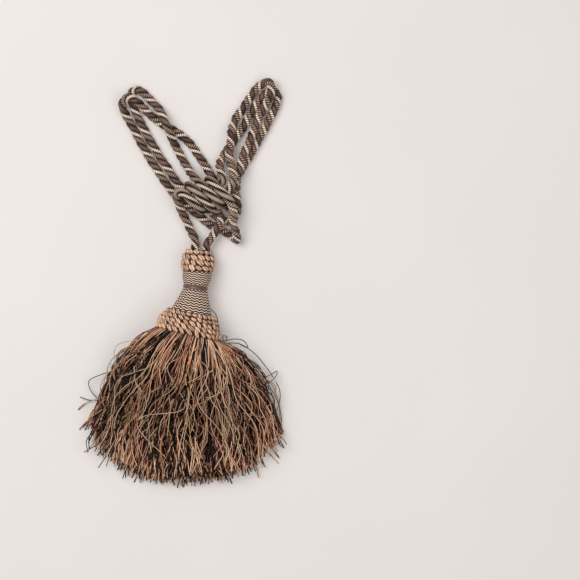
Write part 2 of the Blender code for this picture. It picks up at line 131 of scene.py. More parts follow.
# Skirt, as in the frame.
GAP = 0.3 * MM  # between neighbouring pieces
BACKING_DEPTH = 5.0 * MM
ROOT_SPREAD = 28.6 * MM  # the outermost roots' distance from the middle
SKIRT_LENGTH = 156.0 * MM
SIDE_SHORTER = 55.0 * MM  # the outermost threads end this much nearer to the head
TOP_SHORTER = 16.0 * MM
TIP_HALF_WIDTH = 99.0 * MM
TIP_MIDDLE = -1.5 * MM
TIP_HEIGHT = 30.0 * MM
ROOT_REACH = 42.0 * MM  # how far a thread keeps the direction that it leaves the head in
ROOT_SPLAY = 50.0 * MM
TIP_REACH = 46.0 * MM
UPPER_ROOTS_SET_OVER = 0.55  # of half the fan, to the right
UPPER_ROOTS_FURTHER = 3.0 * MM
SIDE_SHORTER_POWER = 3.3
SIDE_TURNS_SOONER = 0.57
TOP_TURNS_SOONER = 0.3
ROOT_RISE = 7 * MM
SIDE_DROP = 4 * MM
TIP_SPLAY = 0.16
TIP_SLOPE = 0.55
TIP_LOWEST = 0.7 * MM
BACKING_RADII = np.array([30.0, 30.0, 20.0]) * MM  # at its start, its end and its dark middle beyond
BACKING_SIDES = 48

# Threads of the skirt. Each kind has this many threads and points on each; the first and last share of
# the whole length that it shows; how far it wanders; how far its ends stray sideways, as a share of the
# fan's half width; how far its tips turn aside; its radius; the lowest and highest share of the skirt's
# height; how bright the lowest are; and how much more often it is light. Lengths are in millimetres.
Kind = namedtuple("Kind", "count points first last wander stray turn radius rise lowest light")
THREAD_KINDS = {
    "threads_low": Kind(700, 34, 0.0, 1.0, 2.0, 0.05, 3.0, 0.62, (0.0, 0.55), 0.12, 0.0),
    "threads_high": Kind(600, 40, 0.0, 1.0, 2.8, 0.09, 4.0, 0.6, (0.45, 0.95), 0.12, 0.0),
    "threads_top": Kind(330, 44, 0.0, 1.0, 4.2, 0.17, 5.0, 0.6, (0.85, 1.0), 0.4, 0.4),
    "threads_crown": Kind(1100, 16, 0.0, 0.36, 1.6, 0.14, 0.0, 0.64, (0.3, 1.0), 0.75, 1.0),
    "threads_curly": Kind(100, 44, 0.12, 0.9, 7.5, 0.26, 8.0, 0.45, (0.9, 1.0), 0.8, 1.0),
    "thread_ends": Kind(1400, 9, 0.8, 1.0, 1.0, 0.07, 7.5, 0.68, (0.0, 0.97), 0.55, 0.7),
}
CLUMP = 4  # threads that lie alike
CLUMP_SPREAD = (0.02, 0.05)  # of a clump's threads across the fan and upwards
ALIKE = 0.6  # share of the threads that have their clump's colour
THREAD_SIDES = 3
THREAD_RADII = (0.8, 1.15)  # smallest and largest, as a share of the kind's radius
FAN_WIDTH = 0.94  # of the frame's fan, because threads wander outwards
FAN_SPLAY = 0.72  # of the frame's splay at the roots, for the same reason

# How much longer threads are than the frame's locks: middle, spread, and the least and the most.
LONGER = (-1.5 * MM, 5 * MM, -22 * MM, 6 * MM)

# Waves of the threads: size and length. A clump's threads share the second.
WANDER_LENGTH = 85 * MM
CLUMP_WAVE = (1.2 * MM, 60 * MM)
FINE_WAVES = [(0.7 * MM, 34 * MM), (0.28 * MM, 17 * MM)]
FINE_WAVE_POINTS = 31  # the fewest points on a thread that show them
TIP_START = 0.78  # share of the length where tips begin to turn aside
LIFT_WAVE = (1.5 * MM, 50 * MM)
TIP_LIFT = 2 * MM
CROWN_DROP = 14 * MM  # how far the crown's threads sink into the others at their ends

# Tones of the threads.
MIDDLE_SHADE = 0.25  # how much darker they are half way down
END_HIGHLIGHT = 0.6  # how much lighter at their cut ends, as a painted highlight
BRIGHTEST = 0.95
TONE_SPREAD = 0.12

# Hollows between the locks: middle and half size in pixels of the photograph.
HOLLOWS = [((170, 367), (8, 14)), ((196, 408), (6, 27)), ((140, 395), (5, 12)), ((205, 455), (10, 5))]
HOLLOW_HEIGHT = 45  # in millimetres
KEPT_IN_HOLLOWS = 0.2

# The route of each stretch of rope, as x, y, z in millimetres, as in the frame.
RIGHT_LOOP_OUTER = [
    (43.6, 186, 25.2), (47.7, 193.2, 24.8), (49.2, 200.5, 24.4), (48, 208.7, 21.9), (46.3, 214.2, 18),
    (44.8, 219.7, 15.6), (44.4, 225.2, 14.7), (45.1, 230.6, 14.6), (46, 236.1, 14.4), (46.4, 241.6, 14),
    (46.4, 247, 12), (47.4, 252.7, 8.3), (51, 262.5, 4.9), (58.5, 273, 4.8), (66, 284.5, 4.8),
    (73, 294, 5.2), (79.5, 299.5, 7.3), (85.5, 300.8, 10.6), (89, 295.8, 14), (88, 287.8, 15),
    (84.2, 279, 12.8), (79.6, 271, 8.4), (75.1, 263.1, 5.8), (71.2, 254.2, 6.4), (67.6, 243.6, 10.3),
    (62.8, 232, 12.2), (58.8, 222.6, 13), (57, 215.5, 14.2), (56, 209.2, 14.6), (53.2, 202.7, 14.8),
    (50.8, 196.4, 15.2), (50.4, 190, 15.4), (51.4, 183.8, 15.4), (52.7, 177.5, 15.2), (53.4, 171, 15),
    (53.2, 164.6, 13.6), (50.9, 158.8, 11.1), (46.6, 155.2, 8.4),
]
UNDER_KNOT_TO_LEFT_INNER = [
    (41.2, 154.4, 6.2), (36, 156.4, 5), (30.2, 160.6, 4.8), (24.5, 165, 4.8), (16.5, 171.5, 4.8),
    (6.5, 179, 4.8), (-4.9, 189.2, 4.8), (-13.2, 199.8, 4.8), (-20.8, 211.7, 4.8), (-27.9, 221.7, 4.8),
    (-34.1, 232.2, 4.8), (-40.2, 242.6, 4.8), (-45.7, 253.1, 4.8), (-50.6, 263, 4.8), (-54.4, 271, 4.8),
    (-57.4, 278.6, 4.8), (-59, 286, 4.8), (-56.8, 291.8, 4.8),
]
LEFT_LOOP_INNER_BACK = [
    (-51, 293.3, 4.8), (-45, 289, 4.8), (-39, 283, 4.8), (-33, 277, 4.8), (-27.5, 270, 9),
    (-23, 260.5, 14.6), (-19.5, 251.5, 15), (-15.5, 242.5, 11.5), (-11.3, 232.6, 5.5), (-6, 222.8, 5),
    (-1, 213.4, 8), (4, 205.8, 15), (8.5, 199.5, 22),
]
KNOT_TO_TAIL = [
    (42.5, 179.6, 35), (47, 173, 32), (49, 166, 28), (48.8, 160, 24.3), (48.9, 153.6, 20.6),
    (50.4, 147.5, 18.2), (51.8, 142.8, 17), (53, 138.4, 15.2), (53.3, 135.2, 10.6), (51.5, 135.8, 6),
]
UNDER_KNOT_TO_LEFT_OUTER = [
    (47.3, 139.4, 4.8), (41.5, 143.3, 4.8), (34, 146.8, 4.8), (26.6, 150.2, 4.8), (18, 156.2, 4.8),
    (8.8, 164, 4.8), (-2.6, 173, 4.8), (-13.6, 183.9, 4.8), (-22.1, 195.1, 4.8), (-29.6, 206.7, 4.8),
    (-36.4, 217, 4.8), (-42.6, 227.5, 4.8), (-48.6, 238, 4.8), (-54, 248.4, 4.8), (-59.2, 258.6, 5.4),
    (-64.2, 267, 8.5), (-67.2, 275, 12.5), (-65.8, 282, 14.6),
]
LEFT_LOOP_OUTER_BACK = [
    (-60.5, 284.8, 15), (-54, 281.5, 15), (-48, 276.5, 12.8), (-42, 270.5, 8.2), (-36, 264.5, 5.2),
    (-28, 258.5, 4.8), (-19, 253, 4.8), (-10, 248, 4.8), (-1, 241, 4.8), (7.5, 231, 4.8),
    (14.5, 220.5, 4.8), (21, 210.5, 4.8), (27.5, 200, 4.8), (33.2, 189.8, 4.8), (38, 181, 4.8),
    (41, 174, 4.8), (44.2, 168.8, 4.8),
]
RIGHT_LOOP_INNER = [
    (48.7, 167.8, 4.8), (52, 171.2, 4.8), (52.7, 177, 4.8), (52.1, 184.5, 4.8), (51.6, 191, 4.8),
    (52.2, 197.2, 4.8), (54, 203, 4.8), (56.8, 208.8, 4.8), (60.6, 215, 4.8), (65.1, 222.6, 4.8),
    (70.4, 232, 4.8), (76.7, 243.6, 4.8), (82.5, 253.8, 4.8), (87.2, 263.6, 4.8), (92, 273, 4.8),
    (95, 281, 4.8), (95.2, 287, 4.8), (92, 291.3, 4.8), (87, 291.3, 4.8), (81.6, 288, 4.8),
    (75.5, 281.5, 4.8), (69.3, 271.8, 4.8), (63.8, 262.6, 4.8), (60.8, 256.6, 4.8), (57.4, 251.2, 4.8),
    (54, 245.9, 4.8), (50.4, 240.7, 4.8), (46.7, 235.8, 4.8), (43, 230.8, 4.8), (39.6, 225.9, 4.8),
    (36.6, 220.8, 6.4), (34.6, 215.5, 11.5), (34.6, 209.2, 17.5), (36.8, 203, 22.5), (38.6, 197.4, 24.8),
]
RIGHT_HANGING_LEG = [
    (24.4, 134.5, 13.8), (28.3, 141.2, 14), (32.8, 149.3, 14.7), (35.6, 156.8, 15.6), (35.2, 163, 17.8),
    (31, 164.2, 22.3),
]
LEFT_HANGING_LEG = [
    (-2, 183.4, 34.8), (-7.4, 185.2, 30.8), (-10.4, 181.6, 25), (-8.2, 173, 17.5), (-3.6, 162, 11.4),
    (1.8, 151, 8.8), (5.2, 143, 9.8), (8, 137.5, 12.6),
]
HANGING_LEG_PLACES = (7.4 * MM, -4.2 * MM)  # sideways from the head's middle
HANGING_LEG_HEIGHT = 14.4 * MM
HANGING_LEG_STRAIGHT = 7 * MM  # how far a leg leaves the head square to it

# Loose threads that stray from the skirt, by pixel of the photograph and height in millimetres.
DARK_STRAYS = [
    [(113, 371, 12), (100, 375, 12), (89, 381, 9), (90, 389, 7), (98, 399, 8), (108, 408, 9)],
    [(112, 398, 9), (99, 400, 6), (89, 400, 4), (80, 397, 2)],
    [(104, 409, 8), (97, 415, 5), (90, 421, 3), (83, 427, 1)],
    [(98, 399, 6), (88, 402, 3), (78, 410, 1)],
    [(160, 330, 40), (145, 332, 34), (137, 340, 30), (131, 352, 26), (120, 359, 22), (116, 368, 19),
     (114, 379, 15), (110, 392, 12)],
    [(150, 333, 38), (138, 336, 30), (128, 348, 24), (118, 361, 18), (112, 380, 14)],
    [(211, 309, 34), (216, 315, 28), (218, 322, 24), (219, 329, 25), (220, 335, 28)],
    [(219, 339, 34), (224, 342, 30), (227, 337, 30), (223, 336, 32), (224, 344, 28)],
    [(221, 342, 38), (234, 339, 34), (244, 341, 28), (248, 348, 24), (245, 347, 26), (238, 343, 30)],
    [(224, 343, 36), (240, 344, 30), (255, 354, 22), (266, 367, 16), (275, 380, 12), (280, 392, 10),
     (279, 404, 8), (274, 416, 7)],
    [(240, 352, 34), (256, 366, 22), (268, 384, 14), (277, 400, 8), (281, 415, 5), (281, 428, 3),
     (280, 440, 2), (284, 447, 1)],
    [(250, 380, 24), (263, 378, 16), (272, 374, 12), (277, 371, 10), (276, 376, 10), (268, 384, 12)],
    [(250, 388, 26), (262, 392, 18), (270, 400, 12), (276, 412, 8), (272, 424, 8), (264, 428, 12)],
]
LIGHT_STRAYS = [
    [(213, 370, 54), (199, 379, 52), (184, 384, 50), (167, 385, 50), (155, 390, 46), (140, 400, 40)],
    [(212, 397, 46), (202, 403, 44), (192, 405, 44), (184, 409, 44)],
    [(134, 366, 46), (136, 383, 46), (145, 397, 45), (146, 407, 44), (138, 420, 38)],
    [(171, 396, 50), (163, 404, 48), (154, 414, 44), (148, 428, 38), (146, 440, 32)],
    [(226, 366, 48), (227, 376, 48), (222, 390, 47), (214, 396, 46), (206, 398, 45)],
    [(208, 388, 50), (200, 398, 47), (193, 412, 43), (191, 424, 38), (197, 436, 32)],
    [(235, 395, 42), (238, 408, 40), (235, 421, 36), (227, 426, 34)],
    [(196, 441, 32), (188, 443, 32), (180, 446, 32), (177, 447, 32)],
]
STRAY_RADIUS = 0.5 * MM
STRAY_LOWEST = 0.6 * MM
STRAY_POINTS = 40
STRAY_SIDES = 5

# Surface and light.
FLOOR_HALF_WIDTH = 4.0
FLOOR_GLOW = 0.12
LIGHT_SIZE = 1.4
LIGHTS = {  # place, aim, power and colour
    "window": ((-0.7, 0.6, 1.9), (0, 0.05, 0), 34, (1.0, 0.985, 0.97)),
    "fill": ((0.9, -0.3, 2.1), (0, 0, 0), 12, (1.0, 0.97, 0.94)),
}
SKY_COLOUR = (1.0, 0.98, 0.96, 1.0)
SKY_STRENGTH = 0.38


def linear(*colour):
    """A colour as it looks in a photograph, 0 to 255, for a shader."""
    parts = [value / 255 for value in colour]
    return tuple(part / 12.92 if part <= 0.04045 else ((part + 0.055) / 1.055) ** 2.4 for part in parts)


def from_pixel(x, y, height):
    """The place seen at a pixel of the photograph, at a height in millimetres."""
    flat = Vector(((x - ORIGIN_PIXEL[0]) * PIXEL, (ORIGIN_PIXEL[1] - y) * PIXEL, 0.0))
    middle = camera_place()
    share = height * MM / middle.z
    return np.array([*(flat.xy + (middle.xy - flat.xy) * share), height * MM])


def camera_place():
    half = PHOTO_PIXELS / 2
    return Vector(((half - ORIGIN_PIXEL[0]) * PIXEL, (ORIGIN_PIXEL[1] - half) * PIXEL, CAMERA_HEIGHT))


def new_object(name, data):
    obj = bpy.data.objects.new(name, data)
    bpy.context.scene.collection.objects.link(obj)
    return obj


def make_camera():
    data = bpy.data.cameras.new("camera")
    data.sensor_width = SENSOR
    data.lens = SENSOR * CAMERA_HEIGHT / (PHOTO_PIXELS * PIXEL)
    camera = new_object("camera", data)
    camera.location = camera_place()
    bpy.context.scene.camera = camera


# Routes


def blend(first, last, start, end, place):
    """Between two points, as far along as the place is between start and end."""
    return ((end - place) * first + (place - start) * last) / (end - start)


def smooth_line(points):
    """A smooth curve through the points, by centripetal Catmull-Rom spans."""
    samples = 24
    points = np.array(points, float)
    ends = (2 * points[0] - points[1], 2 * points[-1] - points[-2])
    points = np.vstack([ends[0], points, ends[1]])
    knots = np.concatenate([[0.0], np.cumsum(np.linalg.norm(np.diff(points, axis=0), axis=1) ** 0.5)])
    line = []
    for i in range(1, len(points) - 2):
        p, k = points[i - 1 : i + 3], knots[i - 1 : i + 3]
        for t in np.linspace(k[1], k[2], samples, endpoint=False):
            near = [blend(p[j], p[j + 1], k[j], k[j + 1], t) for j in range(3)]
            wide = [blend(near[j], near[j + 1], k[j], k[j + 2], t) for j in range(2)]
            line.append(blend(wide[0], wide[1], k[1], k[2], t))
    return np.array(line + [points[-2]])


def lengths_along(lines):
    """How far each point is from the start of its line, along it."""
    spans = np.linalg.norm(np.diff(lines, axis=-2), axis=-1)
    return np.concatenate([np.zeros_like(spans[..., :1]), np.cumsum(spans, axis=-1)], axis=-1)


def spread_evenly(line, count):
    along = lengths_along(line)
    places = np.linspace(0.0, along[-1], count)
    return np.stack([np.interp(places, along, line[:, axis]) for axis in range(3)], axis=1)


def evenly_spaced(line, step):
    return spread_evenly(line, round(lengths_along(line)[-1] / step) + 1)


def rope_route(points, step):
    """The middle of a rope through the points, with its bends eased as a soft rope eases them."""
    fine = 0.5 * MM
    line = evenly_spaced(smooth_line(points), fine)
    reach = round(3 * ROPE_SOFTNESS / fine)
    weights = np.exp(-0.5 * (np.arange(-reach, reach + 1) * fine / ROPE_SOFTNESS) ** 2)
    weights /= weights.sum()
    before = 2 * line[0] - line[reach:0:-1]
    after = 2 * line[-1] - line[-2 : -reach - 2 : -1]
    padded = np.vstack([before, line, after])
    line = np.stack([np.convolve(padded[:, axis], weights, "valid") for axis in range(3)], axis=1)
    line[:, 2] = np.maximum(line[:, 2], FLOOR_LEVEL)
    return evenly_spaced(line, step)


def core_points(side, first, last):
    """A strand straight through the knot's middle, on one side of its axis."""
    start = KNOT_CENTRE + KNOT_SIDE * side * CORE_HALF_SPACING
    return [start + KNOT_ROW * (first + (last - first) * i / 3) for i in range(4)]


def wrap_points(first_angle, last_angle, first_place, last_place):
    """Turns round the knot's core. Angle 0 is at the knot's lower right, and 90 on top."""
    points = []
    for i in range(WRAP_POINTS + 1):
        share = i / WRAP_POINTS
        angle = math.radians(first_angle + (last_angle - first_angle) * share)
        shoulder = max(-1.0, min(1.0, WRAP_SHOULDER * math.cos(angle)))
        side = CORE_HALF_SPACING * shoulder + WRAP_RADIUS * math.cos(angle)
        place = first_place + (last_place - first_place) * share
        offset = KNOT_SIDE * side + KNOT_ROW * place
        points.append(KNOT_CENTRE + offset + Vector((0, 0, WRAP_RADIUS * math.sin(angle))))
    return points


def in_metres(table):
    return [Vector(row) * MM for row in table]


def tie_rope_points():
    core_end = CORE_HALF_LENGTH
    before = RIGHT_LOOP_OUTER + UNDER_KNOT_TO_LEFT_INNER + LEFT_LOOP_INNER_BACK
    after = KNOT_TO_TAIL + UNDER_KNOT_TO_LEFT_OUTER + LEFT_LOOP_OUTER_BACK + RIGHT_LOOP_INNER
    return (
        core_points(1, -core_end, core_end - 2 * MM)
        + in_metres(before)
        + wrap_points(*ROPE_WRAP_ANGLES, WRAP_START, WRAP_END)
        + in_metres(after)
        + core_points(-1, core_end + 1 * MM, 1 * MM - core_end)
    )


def leg_end(offset):
    """The last stretch of a hanging leg, square to the head's top, from the head outwards."""
    centre, forward, sideways = head_centre(0.0)
    start = centre + sideways * offset
    start.z = HANGING_LEG_HEIGHT
    return [start, start - forward * HANGING_LEG_STRAIGHT]


def hanging_cord_points():
    right, left = HANGING_LEG_PLACES
    right_leg = leg_end(right) + in_metres(RIGHT_HANGING_LEG)
    left_leg = in_metres(LEFT_HANGING_LEG) + leg_end(left)[::-1]
    return right_leg + wrap_points(*CORD_WRAP_ANGLES, -WRAP_START, -WRAP_END) + left_leg


# The head's line


def head_height(place):
    """Height of the head's middle line, so that both ruffs rest on the surface."""
    low = TOP_RUFF_RADIUS - FLATTENED
    high = LOWER_RUFF_RADIUS - FLATTENED
    return low + (high - low) * (place - TOP_RUFF_REST) / (LOWER_RUFF_REST - TOP_RUFF_REST)


def head_centre(place):
    """The head's middle line, its forward direction and its sideways direction, at a place along it."""
    start, end = HEAD_HEADING
    steps = 40
    centre = HEAD_TOP.copy()
    for i in range(steps):
        turn = start + (end - start) * (i + 0.5) / steps * place / HEAD_LENGTH
        centre += Vector((-math.sin(turn), -math.cos(turn))) * place / steps
    turn = start + (end - start) * place / HEAD_LENGTH
    forward = Vector((-math.sin(turn), -math.cos(turn), 0.0))
    sideways = Vector((math.cos(turn), -math.sin(turn), 0.0))
    return Vector((*centre, head_height(place))), forward, sideways


def on_head(place, radius, angle):
    centre, _, sideways = head_centre(place)
    point = centre + sideways * radius * math.cos(angle) + Vector((0, 0, radius * math.sin(angle)))
    point.z = max(point.z, 0.0)
    return np.array(point)


# Meshes


def piece(name, points, faces, materials, colours=None, corners=None, slots=None):
    """A mesh object. colours has a colour for each point, and corners a (u, v) for each face's corner."""
    mesh = bpy.data.meshes.new(name)
    mesh.from_pydata(np.asarray(points).tolist(), [], faces)
    for material in materials:
        mesh.materials.append(material)
    if slots is not None:
        mesh.polygons.foreach_set("material_index", slots)
    if colours is not None:
        layer = mesh.attributes.new("tint", "FLOAT_COLOR", "POINT")
        rgba = np.ones((len(points), 4))
        rgba[:, :3] = colours
        layer.data.foreach_set("color", rgba.ravel())
    if corners is not None:
        layer = mesh.uv_layers.new(name="lie")
        layer.data.foreach_set("uv", np.asarray(corners, float).ravel())
    mesh.shade_smooth()
    return new_object(name, mesh)


def stand_in(obj, node_name):
    """Lets a piece ride on the frame in place of a node."""
    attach(obj, "root")
    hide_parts(node_name)


def unit(vectors):
    return vectors / np.maximum(np.linalg.norm(vectors, axis=-1, keepdims=True), 1e-12)


def tubes(rings, along):
    """Points, faces and corner places of closed tubes.

    rings is (tube, ring, side, xyz), and along is (tube, ring).
    """
    count, lengths, sides = rings.shape[:3]
    index = np.arange(count * lengths * sides).reshape(count, lengths, sides)
    nearer, further = index[:, :-1], index[:, 1:]
    quads = np.stack([nearer, np.roll(nearer, -1, 2), np.roll(further, -1, 2), further], -1)
    left = np.broadcast_to(np.arange(sides) / sides, nearer.shape)
    right = left + 1 / sides
    low = np.broadcast_to(along[:, :-1, None], nearer.shape)
    high = np.broadcast_to(along[:, 1:, None], nearer.shape)
    around_face = ((left, low), (right, low), (right, high), (left, high))
    places = np.stack([np.stack(pair, -1) for pair in around_face], -2)
    faces = quads.reshape(-1, 4).tolist()
    corners = places.reshape(-1, 2)
    for end, level in ((index[:, 0, ::-1], along[:, 0]), (index[:, -1], along[:, -1])):
        faces += end.tolist()
        flat = np.stack([np.full((count, sides), 0.5), np.repeat(level[:, None], sides, 1)], -1)
        corners = np.vstack([corners, flat.reshape(-1, 2)])
    return rings.reshape(-1, 3), faces, corners


def rings_round(lines, radius, first, second, angles):
    """Rings of points round each point of the lines. The first direction is at angle 0, the second at 90."""
    ring = np.cos(angles)[:, None] * first[..., None, :] + np.sin(angles)[:, None] * second[..., None, :]
    return lines[..., None, :] + radius[..., None, None] * ring


def joined(parts):
    """Points, faces, corner places and slots of several parts as one. Each part has a slot of its own."""
    points, faces, corners, slots = [], [], [], []
    for slot, (part_points, part_faces, part_corners) in enumerate(parts):
        shift = sum(len(earlier) for earlier in points)
        points.append(part_points)
        faces += [[corner + shift for corner in face] for face in part_faces]
        corners.append(part_corners)
        slots += [slot] * len(part_faces)
    return np.vstack(points), faces, np.vstack(corners), slots


def carried_directions(line):
    """Unit directions along and square to a line, which turn with it as little as possible."""
    tangents = unit(np.gradient(line, axis=0))
    normals = np.empty_like(line)
    normal = np.cross(tangents[0], UP)
    for i, tangent in enumerate(tangents):
        normal = normal - tangent * normal.dot(tangent)
        normal = normal / np.linalg.norm(normal)
        normals[i] = normal
    return tangents, normals, np.cross(tangents, normals)


def lay_angle(line, step):
    """How far the plies have turned at each point. The lay is longer round the knot."""
    from_knot = np.linalg.norm(line - np.array(KNOT_CENTRE), axis=1)
    flatter = np.interp(from_knot, OPEN_REACH, (1, 0)) * np.interp(line[:, 2], OPEN_HEIGHT, (0, 1))
    lay = np.interp(line[:, 0], LAY_CHANGES, (LEFT_LAY, RIGHT_LAY))
    lay += (OPEN_LAY - lay) * flatter
    turns = np.concatenate([[0.0], np.cumsum(step / lay[:-1])])
    return -math.tau * turns


def three_plies(name, points, materials):
    """A rope of a satin ply, a brown ribbed ply and a thinner cream ribbed ply."""
    line = rope_route(points, PLY_STEP)
    _, normals, across = carried_directions(line)
    turn = lay_angle(line, PLY_STEP)
    angles = math.tau * np.arange(PLY_SIDES) / PLY_SIDES
    plies = []
    for start, radius, distance, groove in PLIES:
        angle = (turn + start)[:, None]
        outward = np.cos(angle) * normals + np.sin(angle) * across
        middle = line + distance * outward
        middle[:, 2] = np.maximum(middle[:, 2], radius)
        forward = unit(np.gradient(middle, axis=0))
        side = np.cross(forward, outward)
        length = lengths_along(middle)
        rib = np.abs(np.sin(math.pi * length / RIB_PITCH)) ** 0.8
        size = radius * (1 - groove * (1 - rib))
        rings = rings_round(middle, size, outward, side, angles)
        plies.append(tubes(rings[None], length[None] / RIB_PITCH))
    points, faces, corners, slots = joined(plies)
    obj = piece(name, points, faces, materials, corners=corners, slots=slots)
    return obj, evenly_spaced(line, PATH_STEP)


# Materials


def new_material(name, roughness, gleam=0.25):
    material = bpy.data.materials.new(name)
    material.use_nodes = True
    inputs = shader_of(material).inputs
    inputs["Roughness"].default_value = roughness
    inputs["Specular IOR Level"].default_value = gleam
    return material, material.node_tree


def shader_of(material):
    return material.node_tree.nodes["Principled BSDF"]


def node(tree, kind, inputs=None, **settings):
    """A shader node. Each input takes a socket, a number or a colour."""
    made = tree.nodes.new("ShaderNode" + kind)
    for key, value in settings.items():
        setattr(made, key, value)
    for key, value in (inputs or {}).items():
        if isinstance(value, bpy.types.NodeSocket):
            tree.links.new(value, made.inputs[key])
        else:
            made.inputs[key].default_value = (*value, 1.0) if isinstance(value, tuple) else value
    return made


def mixed(tree, share, first, second, mode="MIX"):
    """Two colours, each a tuple or a socket, mixed by a share."""
    inputs = {0: share, 6: first, 7: second}
    return node(tree, "Mix", inputs, data_type="RGBA", blend_type=mode).outputs[2]


def point_tint(tree):
    return node(tree, "Attribute", attribute_name="tint").outputs["Color"]


def object_place(tree):
    return node(tree, "TexCoord").outputs["Object"]


def object_noise(tree, scale):
    inputs = {"Vector": object_place(tree), "Scale": scale, "Detail": 3.0}
    return node(tree, "TexNoise", inputs).outputs["Fac"]


def ramp(tree, value, low, high, first=0.0, last=1.0):
    """A number that goes from first to last as the value goes from low to high."""
    limits = {"Value": value, "From Min": low, "From Max": high, "To Min": first, "To Max": last}
    return node(tree, "MapRange", limits).outputs["Result"]


def math_node(tree, operation, first, second=None):
    inputs = {0: first} if second is None else {0: first, 1: second}
    return node(tree, "Math", inputs, operation=operation).outputs[0]


def coated(material, colour, height, strength, distance):
    """The material with its colour, and with bumps as high as the distance where the height is 1."""
    tree, inputs = material.node_tree, shader_of(material).inputs
    bump = node(tree, "Bump", {"Height": height, "Strength": strength, "Distance": distance})
    tree.links.new(colour, inputs["Base Color"])
    tree.links.new(bump.outputs["Normal"], inputs["Normal"])
    return material


def rounded_shade(tree, round_it, dark_share):
    """A share of painted shade, which falls from 1 on the rope's outside to dark_share in the furrows
    between its plies.
    """
    turn = math_node(tree, "COSINE", math_node(tree, "MULTIPLY", round_it, math.tau))
    return ramp(tree, turn, 0.05, 0.9, dark_share)


def highlit_where_high(tree, colour):
    """The colour with a painted highlight, paler where the knot stands high."""
    height = node(tree, "SeparateXYZ", {"Vector": object_place(tree)}).outputs["Z"]
    return mixed(tree, ramp(tree, height, *HIGHLIGHT_HEIGHT, 0.0, HIGHLIGHT_SHARE), colour, linear(226, 200, 180))


def ridges(tree, fibres, lean):
    """How far round a tube a point is, and 1 on the crest and 0 in the furrows of its slanting fibres."""
    uv = node(tree, "UVMap", uv_map="lie").outputs["UV"]
    round_it, along = node(tree, "SeparateXYZ", {"Vector": uv}).outputs[:2]
    across = math_node(tree, "MULTIPLY", round_it, fibres)
    part = math_node(tree, "FRACT", math_node(tree, "ADD", across, math_node(tree, "MULTIPLY", along, lean)))
    return round_it, math_node(tree, "SINE", math_node(tree, "MULTIPLY", part, math.pi))


def satin_ply_material():
    material, tree = new_material("satin_ply", 0.34, 0.35)
    round_it, ridge = ridges(tree, SATIN_FIBRES, 0.25)
    cloud = object_noise(tree, 60.0)
    base = mixed(tree, ramp(tree, cloud, 0.35, 0.65), linear(64, 44, 37), linear(126, 96, 84))
    # painted shade in the furrows between the satin's fibres, then in the furrows between the plies; painted
    # highlight where the knot stands high
    base = mixed(tree, ramp(tree, ridge, 0.0, 0.7), linear(26, 16, 12), highlit_where_high(tree, base))
    base = mixed(tree, rounded_shade(tree, round_it, 0.0), linear(26, 17, 13), base)
    return coated(material, base, ridge, strength=0.6, distance=0.3 * MM)


def ribbed_ply_material(name, dark, light, share, roughness):
    material, tree = new_material(name, roughness)
    round_it, ridge = ridges(tree, 1.0, 1.0)
    speck = ramp(tree, ridge, share, min(share + 0.25, 1.0))
    cloud = ramp(tree, object_noise(tree, 220.0), 0.35, 0.7)
    # painted highlight where the knot stands high
    lit = highlit_where_high(tree, mixed(tree, cloud, tuple(0.75 * part for part in light), light))
    base = mixed(tree, speck, dark, lit)
    # painted shade in the furrows between the plies
    base = mixed(tree, rounded_shade(tree, round_it, 0.05), linear(34, 22, 17), base)
    return coated(material, base, ridge, strength=0.6, distance=0.3 * MM)


def bronze_material():
    material, tree = new_material("bronze_knots", 0.36, 0.4)
    tint = point_tint(tree)
    _, ridge = ridges(tree, YARN_FIBRES, 1.2)
    # painted shade: the tint is darkened in the furrows between the knots' yarns
    painted_furrow_shade = mixed(tree, 1.0, tint, (0.26, 0.17, 0.12), "MULTIPLY")
    base = mixed(tree, ramp(tree, ridge, 0.0, 0.6), painted_furrow_shade, tint)
    return coated(material, base, ridge, strength=0.7, distance=0.5 * MM)


def tinted_material(name, roughness, gleam, noise_scale, dark_share):
    """Cloth with the tint of its own points, clouded by noise."""
    material, tree = new_material(name, roughness, gleam)
    tint = point_tint(tree)
    cloud = ramp(tree, object_noise(tree, noise_scale), 0.3, 0.7)
    base = mixed(tree, cloud, mixed(tree, 1.0, tint, (dark_share,) * 3, "MULTIPLY"), tint)
    return coated(material, base, object_noise(tree, noise_scale * 6), strength=0.25, distance=0.2 * MM)


def gap_shade_material():
    """Painted shade: the dark ground that shows between the knots of the ruffs."""
    material, tree = new_material("ruff_gap_shade", 0.8)
    colour = linear(48, 28, 18)
    cloud = ramp(tree, object_noise(tree, 300.0), 0.3, 0.7)
    base = mixed(tree, cloud, tuple(0.8 * part for part in colour), colour)
    return coated(material, base, object_noise(tree, 1200.0), strength=0.2, distance=0.3 * MM)


# Head


def radius_between(radii, share):
    """The radius at a share of the way through radii at even steps."""
    return float(np.interp(share, np.linspace(0, 1, len(radii)), radii))


def band_outline(span, radii, lines):
    """(place, radius) for each line round a band of the head."""
    start, end = span
    shares = [i / (lines - 1) for i in range(lines)]
    return [(start + (end - start) * share, radius_between(radii, share)) for share in shares]


def band_rings(outline, sides, relief=lambda angle, place: 0.0):
    """Rings of points round the head, with the relief that stands out at each angle and place."""
    angles = [math.tau * j / sides for j in range(sides)]
    rows = [[on_head(place, radius + relief(angle, place), angle) for angle in angles]
            for place, radius in outline]
    return np.array([rows])


def turned(name, outline, sides, relief, colour, material):
    """A closed band round the head, with its relief and colour by angle and place."""
    rings = band_rings(outline, sides, relief)
    places = [place for place, _ in outline]
    tints = [colour(math.tau * j / sides, place) for place in places for j in range(sides)]
    points, faces, corners = tubes(rings, np.array([places]) / MM)
    obj = piece(name, points, faces, [material], np.array(tints), corners)
    stand_in(obj, name.removesuffix("_cloth"))


